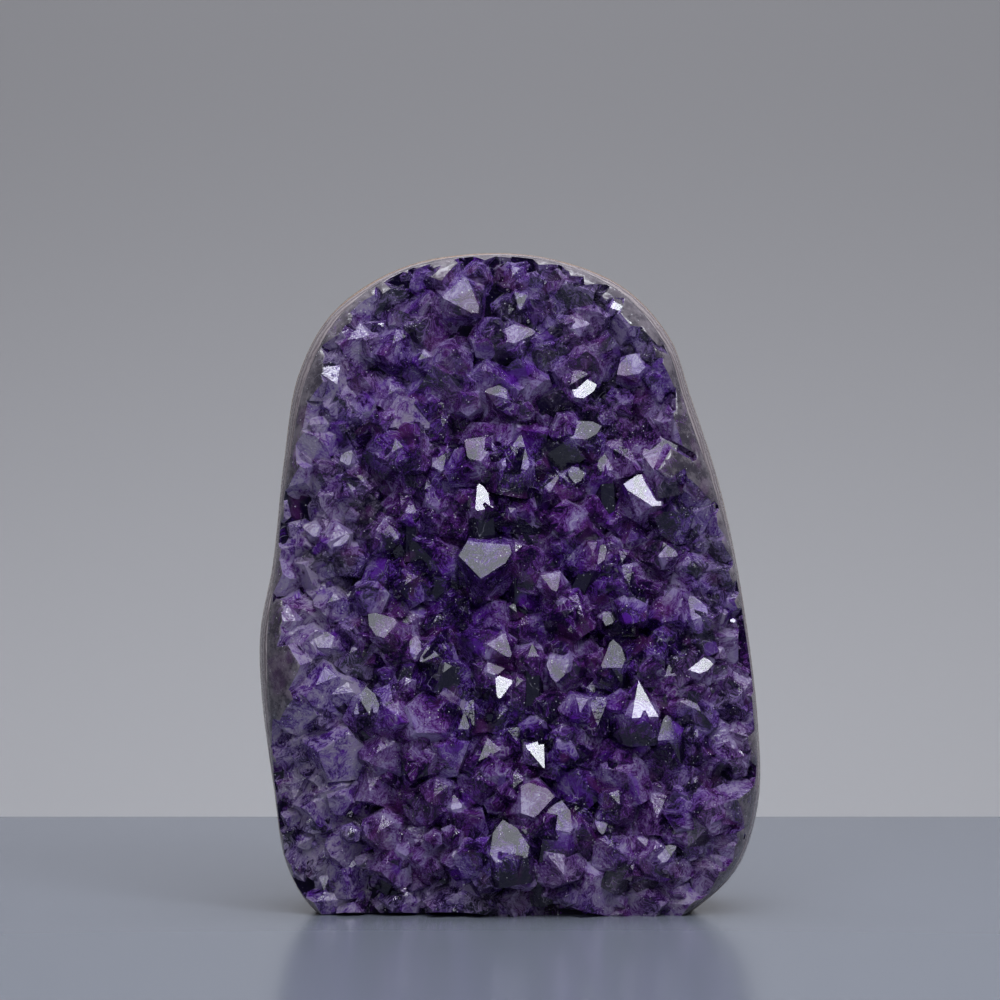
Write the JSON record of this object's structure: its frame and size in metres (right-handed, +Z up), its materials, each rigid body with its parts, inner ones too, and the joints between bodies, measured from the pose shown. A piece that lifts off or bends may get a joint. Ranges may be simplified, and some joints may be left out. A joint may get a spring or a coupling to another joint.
{
  "type": "amethyst cluster on a cut base",
  "caption": "Upright slice of a geode: a polished rounded rock rim and back round a face of violet quartz crystals, standing on a flat sawn base.",
  "frame": {"origin": "centre of the bounding box in plan, on the surface that the cluster stands on", "axes": "+Z up, along the longest side; the crystals look towards -Y; X runs across the face"},
  "size_m": [0.091, 0.052, 0.1201],
  "materials": {
    "rock": "grey-brown basalt and banded agate, polished round the rim and ground smooth at the back",
    "amethyst": "clear to milky violet quartz with bright natural faces, polished where the rim cuts it"
  },
  "bodies": {
    "root": {"matrix": "rock", "amethyst_crystals": "amethyst"}
  },
  "joints": []
}
